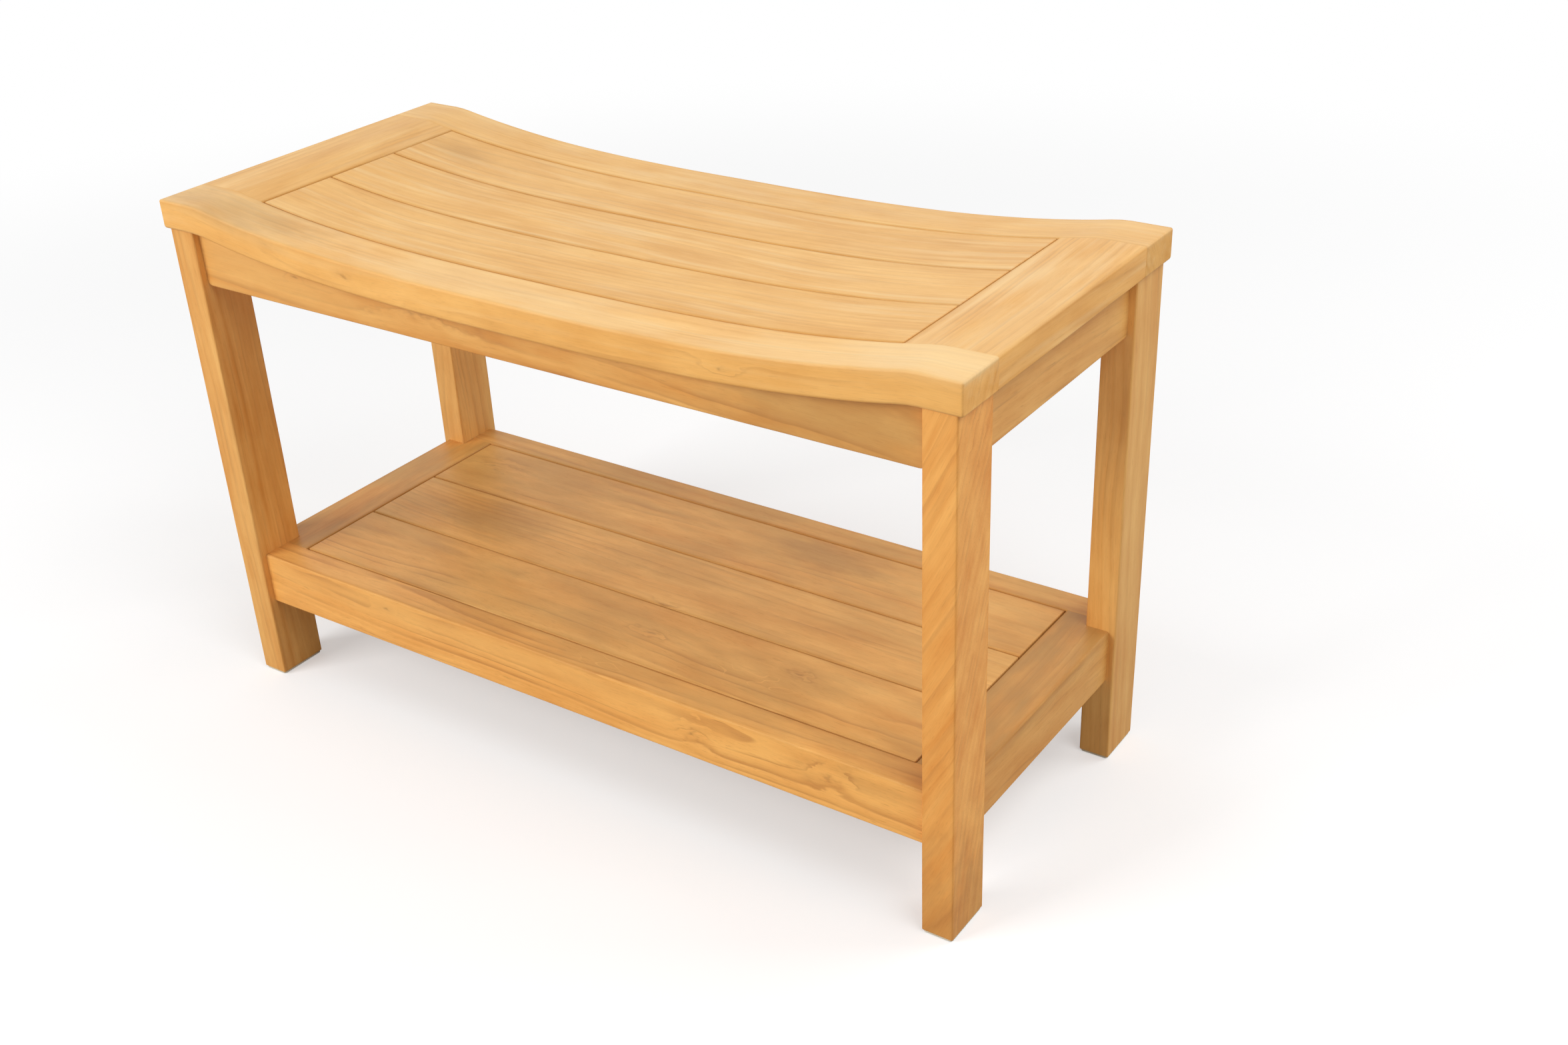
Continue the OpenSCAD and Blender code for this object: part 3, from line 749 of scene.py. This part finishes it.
class BenchFinish(bpy.types.PropertyGroup):
    """Colours of the oiled teak."""

    pale: colour_setting("Pale wood", "Palest wood and its streaks", "#F3BF6F")
    seat: colour_setting("Seat", "Golden wood of the seat", "#D99A45")
    frame: colour_setting("Frame", "Golden wood of the legs and aprons", "#D6903E")
    shelf: colour_setting("Shelf", "Golden wood of the shelf", "#D79545")
    # Also the end grain, and the arrises' painted shade
    brown: colour_setting("Rings", "Brown of the year rings and vessels", "#A05F25")
    knot: colour_setting("Knots", "Dark core of a knot", "#7A4520")
    # Also the grey of the painted shade in the gaps and under the front apron's overhang
    grey: colour_setting("Stains", "Grey-brown of a water stain", "#976C39")
    seat_worn: colour_setting("Worn seat", "Straw colour of sun-bleached wood", "#F6DFAC")
    shelf_worn: colour_setting("Worn shelf", "Dull brown of the shelf where dust has settled", "#B58B4D")


class BenchStudio(bpy.types.PropertyGroup):
    """Lens and lamps of the studio."""

    lens: bpy.props.FloatProperty(
        name="Lens", description="Focal length on a 36 mm sensor",
        default=41.3, min=20, max=120, subtype="DISTANCE_CAMERA")
    room: bpy.props.FloatProperty(
        name="Room light", description="Light from the white room all round",
        default=0.40, min=0, max=2, subtype="FACTOR")
    front_lamp: bpy.props.FloatProperty(
        name="Front lamp", description="Power of the soft lamp at the front left",
        default=58, **POWER)
    side_lamp: bpy.props.FloatProperty(
        name="Side lamp", description="Power of the soft lamp high on the right",
        default=25, **POWER)
    back_lamp: bpy.props.FloatProperty(
        name="Back lamp", description="Power of the soft lamp at the back right",
        default=26, **POWER)


# ---- Pieces ----


class BENCH_OT_seat_rails(bpy.types.Operator):
    """Make the seat's long rails, whose inner arris is eased only beside the slats"""

    bl_idname = "bench.seat_rails"
    bl_label = "Seat long rails"

    def execute(self, context):
        sizes = context.scene.bench_sizes
        ease = sizes.seat_arris
        reach = RAIL_HIGH.x - ease
        joint = END_RAIL_LOW.x
        for node, side in (("seat_front_rail", -1), ("seat_rear_rail", 1)):
            low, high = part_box(node)
            sections = []
            for u in even_places(-reach, reach, joint):
                under, over = worn_radii((sizes.seat_under_arris, ease), u, side)
                hidden = under if abs(u) > LEG_HIGH.x - ease else BUTT_ARRIS
                inner = sizes.slat_arris if abs(u) < joint else BUTT_ARRIS
                radii = handed(side, (under, hidden, inner, over))
                sections.append(Section(u, low.y, high.y, SEAT_UNDER, SEAT_TOP, radii))
            sections = rounded_off(sections, ease, (side < 0, side > 0, 1, 1))
            board(node, "X", sections, "seat_teak", (8, 4), True, (side > 0, side < 0, 0), joint)
        return {"FINISHED"}


class BENCH_OT_seat_end_rails(bpy.types.Operator):
    """Make the wide rails across the seat's ends, flush with the long rails"""

    bl_idname = "bench.seat_end_rails"
    bl_label = "Seat end rails"

    def execute(self, context):
        sizes = context.scene.bench_sizes
        for node, side in (("seat_left_end_rail", -1), ("seat_right_end_rail", 1)):
            low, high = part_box(node)
            sections = []
            for u in even_places(-RAIL_LOW.y, RAIL_LOW.y):
                under, over = worn_radii((sizes.seat_arris, sizes.seat_arris), u, 5 + side)
                radii = handed(side, (under, BUTT_ARRIS, sizes.slat_arris, over))
                sections.append(Section(u, low.x, high.x, SEAT_UNDER, SEAT_TOP, radii))
            board(node, "Y", sections, "seat_teak", (12, 4), True, (side > 0, side < 0, 0))
        return {"FINISHED"}


class BENCH_OT_seat_slats(bpy.types.Operator):
    """Make the seat's three saddle slats"""

    bl_idname = "bench.seat_slats"
    bl_label = "Seat slats"

    def execute(self, context):
        ease = context.scene.bench_sizes.slat_arris
        reach = END_RAIL_LOW.x - SEAT_GAP - ease
        for i, node in enumerate(SEAT_SLATS):
            low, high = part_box(node)
            sections = []
            for u in even_places(-reach, reach):
                radii = (ease, ease, *worn_radii((ease, ease), u, 11 + i))
                sections.append(Section(u, low.y, high.y, SEAT_UNDER, SEAT_TOP, radii))
            board(node, "X", rounded_off(sections, ease), "seat_teak", (8, 3), True, (1, 1, 1))
        return {"FINISHED"}


class BENCH_OT_legs(bpy.types.Operator):
    """Make the four legs, rounded off a little at the foot"""

    bl_idname = "bench.legs"
    bl_label = "Legs"

    def execute(self, context):
        radii = (context.scene.bench_sizes.leg_arris,) * 4
        for i, corner in enumerate(CORNERS):
            low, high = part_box(corner + "_leg")
            sections = [
                Section(u, low.x, high.x, low.y, high.y, worn_radii(radii, u, 21 + i))
                for u in even_places(low.z + FOOT_ARRIS, SEAT_UNDER)
            ]
            sections = end_arris(sections[0], -1, FOOT_ARRIS) + sections
            board(corner + "_leg", "Z", sections, "frame_teak", (4, 6))
        return {"FINISHED"}


class BENCH_OT_aprons(bpy.types.Operator):
    """Make the long aprons, whose tops follow the seat, and the end aprons"""

    bl_idname = "bench.aprons"
    bl_label = "Aprons"

    def execute(self, context):
        ease = context.scene.bench_sizes.rail_arris
        radii = (ease, ease, BUTT_ARRIS, BUTT_ARRIS)
        for node in ("front_apron", "rear_apron", "left_apron", "right_apron"):
            low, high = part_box(node)
            lengthwise = node in ("front_apron", "rear_apron")
            a0, a1 = (low.y, high.y) if lengthwise else (low.x, high.x)
            reach = (LEG_LOW.x if lengthwise else LEG_LOW.y) - APRON_CORNER
            sections = []
            for u in even_places(-reach, reach):
                top = SEAT_UNDER + (saddle_z(u) if lengthwise else 0)
                sections.append(Section(u, a0, a1, low.z, top, worn_radii(radii, u, a0)))
            sections = rounded_off(sections, APRON_CORNER, (0, 0, 1, 0))
            board(node, "X" if lengthwise else "Y", sections, "frame_teak", (3, 5))
        return {"FINISHED"}


class BENCH_OT_shelf_rails(bpy.types.Operator):
    """Make the shelf's long rails and its end rails, which are notched round the legs"""

    bl_idname = "bench.shelf_rails"
    bl_label = "Shelf rails"

    def execute(self, context):
        sizes = context.scene.bench_sizes
        ease = sizes.rail_arris
        joint = SHELF_END_LOW.x
        for node, side in (("shelf_front_rail", -1), ("shelf_rear_rail", 1)):
            low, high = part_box(node)
            sections = []
            for u in even_places(-LEG_LOW.x, LEG_LOW.x, joint):
                under, over = worn_radii((ease, ease), u, 31 + side)
                inner = sizes.slat_arris if abs(u) < joint else BUTT_ARRIS
                radii = handed(side, (under, BUTT_ARRIS, inner, over))
                sections.append(Section(u, low.y, high.y, low.z, high.z, radii))
            seams = (side > 0, side < 0, 0)
            board(node, "X", sections, "shelf_teak", (4, 6), seams=seams, gap_end=joint)
        narrow = even_places(LEG_LOW.y, SHELF_RAIL_LOW.y)
        places = [(-u, True) for u in narrow[::-1]]
        places += [(u, False) for u in even_places(-LEG_LOW.y, LEG_LOW.y)]
        places += [(u, True) for u in narrow]
        for node, side in (("shelf_left_end_rail", -1), ("shelf_right_end_rail", 1)):
            low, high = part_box(node)
            sections = []
            for u, notched in places:
                outer = BUTT_ARRIS if notched else ease
                width = LEG_LOW.x if notched else SHELF_END_HIGH.x
                span = (-width, high.x) if side < 0 else (low.x, width)
                radii = handed(side, (outer, BUTT_ARRIS, sizes.slat_arris, outer))
                sections.append(Section(u, *span, low.z, high.z, radii))
            board(node, "Y", sections, "shelf_teak", (6, 6), seams=(side > 0, side < 0, 0))
        return {"FINISHED"}


class BENCH_OT_shelf_slats(bpy.types.Operator):
    """Make the shelf's three slats"""

    bl_idname = "bench.shelf_slats"
    bl_label = "Shelf slats"

    def execute(self, context):
        ease = context.scene.bench_sizes.slat_arris
        reach = SHELF_END_LOW.x - SHELF_GAP - ease
        for i, node in enumerate(SHELF_SLATS):
            low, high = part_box(node)
            sections = [
                Section(u, low.y, high.y, low.z, high.z, worn_radii((ease,) * 4, u, 41 + i))
                for u in even_places(-reach, reach)
            ]
            board(node, "X", rounded_off(sections, ease), "shelf_teak", (8, 3), seams=(1, 1, 1))
        return {"FINISHED"}


class BENCH_OT_battens(bpy.types.Operator):
    """Make the battens under the slats"""

    bl_idname = "bench.battens"
    bl_label = "Battens"

    def execute(self, context):
        radii = (context.scene.bench_sizes.rail_arris,) * 4
        for node, reach in (("seat_batten", APRON_LOW.y), ("shelf_batten", SHELF_RAIL_LOW.y)):
            low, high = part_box(node)
            sections = [
                Section(u, low.x, high.x, low.z, high.z, worn_radii(radii, u, high.z))
                for u in even_places(-reach, reach)
            ]
            board(node, "Y", sections, "batten_teak", (4, 2))
        return {"FINISHED"}


class BENCH_OT_screws(bpy.types.Operator):
    """Make the countersunk screws of both battens, with a cross recess in each head"""

    bl_idname = "bench.screws"
    bl_label = "Screws"

    def execute(self, context):
        material = turned_stainless("turned_stainless_steel", "#C9CBCC")
        for node in ("seat_batten_screws", "shelf_batten_screws"):
            dress(node, screw_mesh(node), material)
        return {"FINISHED"}


SCREWS_APART = 10 * MM  # less than the distance between two screws, more than a gap within one
HEAD_SIDES = 48
HEAD_RIM, HEAD_RIM_DEPTH = 0.15 * MM, 0.12 * MM
RECESS_WIDTH, RECESS_REACH, RECESS_DEPTH = 1.1 * MM, 2.3 * MM, 1.3 * MM  # half width and half length
RECESS_TAPER = (0.6, 0.5)  # its floor's share of both
RECESS_RIM, RECESS_RIM_DEPTH = 0.1 * MM, 0.08 * MM
TIP_LENGTH, TIP_RADIUS = 2 * MM, 0.3 * MM


def screw_boxes(node):
    """Lowest and highest corners of each screw of a CAD node, whose screws stand in a row along Y."""
    places = sorted((vertex.co for vertex in frame["nodes"][node].data.vertices), key=lambda co: co.y)
    screws = [places[:1]]
    for place in places[1:]:
        if place.y - screws[-1][-1].y > SCREWS_APART:
            screws.append([])
        screws[-1].append(place)
    return [[Vector(pick(axis) for axis in zip(*screw)) for pick in (min, max)] for screw in screws]


def cross_reach(turn, width, reach):
    """Distance from the middle to the edge of a cross-shaped recess in one direction."""
    along = max(abs(math.cos(turn)), abs(math.sin(turn)))
    across = max(min(abs(math.cos(turn)), abs(math.sin(turn))), 1e-6)
    return min(reach / along, max(width / across, width * math.sqrt(2)))


def screw_mesh(node):
    """Screws as rings: the recess, the head's face, the countersink, the shank and its point."""
    turns = [2 * math.pi * i / HEAD_SIDES for i in range(HEAD_SIDES)]
    points, faces = [], []
    for low, high in screw_boxes(node):
        head = (high.y - low.y) / 2
        shank = head / 2
        length = high.z - low.z
        middle = Vector(((low.x + high.x) / 2, (low.y + high.y) / 2, low.z))
        crosses = (
            (RECESS_WIDTH * RECESS_TAPER[0], RECESS_REACH * RECESS_TAPER[1], RECESS_DEPTH),
            (RECESS_WIDTH, RECESS_REACH, RECESS_RIM_DEPTH),
            (RECESS_WIDTH + RECESS_RIM, RECESS_REACH + RECESS_RIM, 0),
        )
        circles = (
            (head - HEAD_RIM, 0), (head, HEAD_RIM_DEPTH), (shank, head - shank),
            (shank, length - TIP_LENGTH), (TIP_RADIUS, length),
        )
        rings = [[(cross_reach(turn, *cross[:2]), cross[2]) for turn in turns] for cross in crosses]
        rings += [[circle] * HEAD_SIDES for circle in circles]
        faces += lofted(len(rings), HEAD_SIDES, len(points))
        for ring in rings:
            for (r, up), turn in zip(ring, turns):
                points.append(middle + Vector((r * math.cos(turn), r * math.sin(turn), up)))
    mesh = bpy.data.meshes.new(node + "_turned")
    mesh.from_pydata(points, [], faces)
    return mesh


PAD_CORNER, PAD_RIM = 2.5 * MM, 0.5 * MM


class BENCH_OT_foot_pads(bpy.types.Operator):
    """Make the moulded pads under the legs"""

    bl_idname = "bench.foot_pads"
    bl_label = "Foot pads"

    def execute(self, context):
        material = moulded_nylon("moulded_nylon", "#E2D6BC")
        for corner in CORNERS:
            node = corner + "_foot_pad"
            low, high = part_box(node)
            foot = Section(low.z + PAD_RIM, low.x, high.x, low.y, high.y, (PAD_CORNER,) * 4)
            sections = end_arris(foot, -1, PAD_RIM) + [foot, foot._replace(u=LEG_LOW.z)]
            points = [(a, b, s.u) for s in sections for a, b, *_ in section_ring(s, (3, 4))]
            mesh = bpy.data.meshes.new(node + "_moulding")
            mesh.from_pydata(points, [], lofted(len(sections), len(points) // len(sections)))
            dress(node, mesh, material)
        return {"FINISHED"}


# ---- Stage ----

# The camera stands in front of the bench and to its right, at twice the bench's height
CAMERA_PLACE = Vector((0.8761, -1.0693, 0.9286))
CAMERA_HEADING = 34.65  # degrees from looking straight along +Y, towards -X
CAMERA_TILT = 30.17  # degrees below the horizon
CAMERA_ROLL = -2.29
CAMERA_SHIFT = (-0.0085, 0.0326)
SENSOR_WIDTH = 36.0
LAMP_PLACES = {
    "front_lamp": (-1.4, -2.4, 1.7),
    "side_lamp": (1.8, -0.6, 2.4),
    "back_lamp": (1.8, 1.6, 2.0),
}
LAMP_TARGET = Vector((0, 0, 0.3))
LAMP_SIZE = 1.6
FLOOR_SIZE = 12.0
FLOOR_DROP = 0.1 * MM
FLOOR_NEAR = 0.9  # the floor's shadows show up to here
FLOOR_FAR = 2.2  # and it is plain white from here on
FLOOR_SEEN = "#D3D3D3"  # the floor as the camera sees it, without its lift
FLOOR_LIFT = 0.40  # light added to the floor that the camera sees
FLOOR_BOUNCE = "#BCBCBC"  # the floor as it lights the bench from below
WHITE = linear("#FFFFFF")


class BENCH_OT_studio(bpy.types.Operator):
    """Make the camera, the white room, the soft lamps and the floor"""

    bl_idname = "bench.studio"
    bl_label = "Studio"

    def execute(self, context):
        studio = context.scene.bench_studio
        context.scene.view_settings.view_transform = "Standard"
        add_camera(studio.lens)
        add_room(studio.room)
        for name, place in LAMP_PLACES.items():
            add_lamp(name, Vector(place), getattr(studio, name))
        add_floor()
        return {"FINISHED"}


def add_camera(lens):
    """The photograph's camera: place, direction and a small shift for its framing."""
    data = bpy.data.cameras.new("bench_camera")
    data.sensor_width = SENSOR_WIDTH
    data.lens = lens
    data.shift_x, data.shift_y = CAMERA_SHIFT
    heading = Matrix.Rotation(math.radians(CAMERA_HEADING), 4, "Z")
    tilt = Matrix.Rotation(math.radians(90 - CAMERA_TILT), 4, "X")
    roll = Matrix.Rotation(math.radians(CAMERA_ROLL), 4, "Z")
    place = Matrix.Translation(CAMERA_PLACE) @ heading @ tilt @ roll
    bpy.context.scene.camera = placed("bench_camera", data, place)


def add_lamp(name, place, power):
    """A square soft lamp at a place, aimed at the bench."""
    data = bpy.data.lights.new(name, "AREA")
    data.size = LAMP_SIZE
    data.energy = power
    aim = (LAMP_TARGET - place).to_track_quat("-Z", "Y").to_matrix().to_4x4()
    placed(name, data, Matrix.Translation(place) @ aim)


def add_room(strength):
    """A white room: plain white where the camera, gloss or glass sees it, a soft even light elsewhere."""
    world = bpy.data.worlds.new("white_room")
    add = adder(world)
    path = add("LightPath", {}).outputs
    seen = add("Math", [path["Is Camera Ray"], path["Is Glossy Ray"]], operation="ADD")
    seen = add("Math", [seen, path["Is Transmission Ray"]], operation="ADD", use_clamp=True)
    lit = add("Background", {"Color": WHITE, "Strength": strength})
    plain = add("Background", {"Color": WHITE, "Strength": 1})
    add("OutputWorld", {"Surface": add("MixShader", [seen, lit, plain])})
    bpy.context.scene.world = world


def add_floor():
    """A pale matt floor that keeps the bench's shadow and fades into the white room further away.
    It lies a hair below the pads, so that their undersides don't share its plane."""
    half = FLOOR_SIZE / 2
    corners = [(x, y, -FLOOR_DROP) for x, y in ((-half, -half), (half, -half), (half, half), (-half, half))]
    mesh = bpy.data.meshes.new("studio_floor")
    mesh.from_pydata(corners, [], [(0, 1, 2, 3)])
    material = bpy.data.materials.new("pale_matt_floor")
    add = adder(material)
    place = add("TexCoord", {}).outputs["Object"]
    distance = add("VectorMath", [place], operation="LENGTH").outputs["Value"]
    far = add("MapRange", [distance, FLOOR_NEAR, FLOOR_FAR], **SOFT)
    matt = add("BsdfDiffuse", {"Color": linear(FLOOR_SEEN)})
    lift = add("Emission", {"Color": WHITE, "Strength": FLOOR_LIFT})
    near = add("AddShader", [matt, lift])
    seen = add("MixShader", [far, near, add("Emission", {"Color": WHITE})])
    bounce = add("BsdfDiffuse", {"Color": linear(FLOOR_BOUNCE)})
    camera_ray = add("LightPath", {}).outputs["Is Camera Ray"]
    add("OutputMaterial", {"Surface": add("MixShader", [camera_ray, bounce, seen])})
    mesh.materials.append(material)
    floor = placed("studio_floor", mesh)


# ---- Panel and registration ----

SETTINGS = {"bench_sizes": BenchSizes, "bench_finish": BenchFinish, "bench_studio": BenchStudio}
OPERATORS = (
    BENCH_OT_seat_rails,
    BENCH_OT_seat_end_rails,
    BENCH_OT_seat_slats,
    BENCH_OT_legs,
    BENCH_OT_aprons,
    BENCH_OT_shelf_rails,
    BENCH_OT_shelf_slats,
    BENCH_OT_battens,
    BENCH_OT_screws,
    BENCH_OT_foot_pads,
    BENCH_OT_studio,
)


class BENCH_PT_sidebar(bpy.types.Panel):
    """Lists the bench's settings and its pieces"""

    bl_label = "Teak shower bench"
    bl_idname = "BENCH_PT_sidebar"
    bl_space_type = "VIEW_3D"
    bl_region_type = "UI"
    bl_category = "Bench"

    def draw(self, context):
        for settings, group in SETTINGS.items():
            box = self.layout.box()
            for name in group.__annotations__:
                box.prop(getattr(context.scene, settings), name)
        for operator in OPERATORS:
            self.layout.operator(operator.bl_idname)


CLASSES = (*SETTINGS.values(), *OPERATORS, BENCH_PT_sidebar)


def register():
    """Registers the settings, operators and panel."""
    for entry in CLASSES:
        bpy.utils.register_class(entry)
    for name, group in SETTINGS.items():
        setattr(bpy.types.Scene, name, bpy.props.PointerProperty(type=group))


def unregister():
    """Takes the settings, operators and panel away again."""
    for name in SETTINGS:
        delattr(bpy.types.Scene, name)
    for entry in reversed(CLASSES):
        bpy.utils.unregister_class(entry)


def main():
    """Builds the bench and its studio."""
    register()
    bpy.ops.bench.seat_rails()
    bpy.ops.bench.seat_end_rails()
    bpy.ops.bench.seat_slats()
    bpy.ops.bench.legs()
    bpy.ops.bench.aprons()
    bpy.ops.bench.shelf_rails()
    bpy.ops.bench.shelf_slats()
    bpy.ops.bench.battens()
    bpy.ops.bench.screws()
    bpy.ops.bench.foot_pads()
    bpy.ops.bench.studio()


if __name__ == "__main__":
    main()
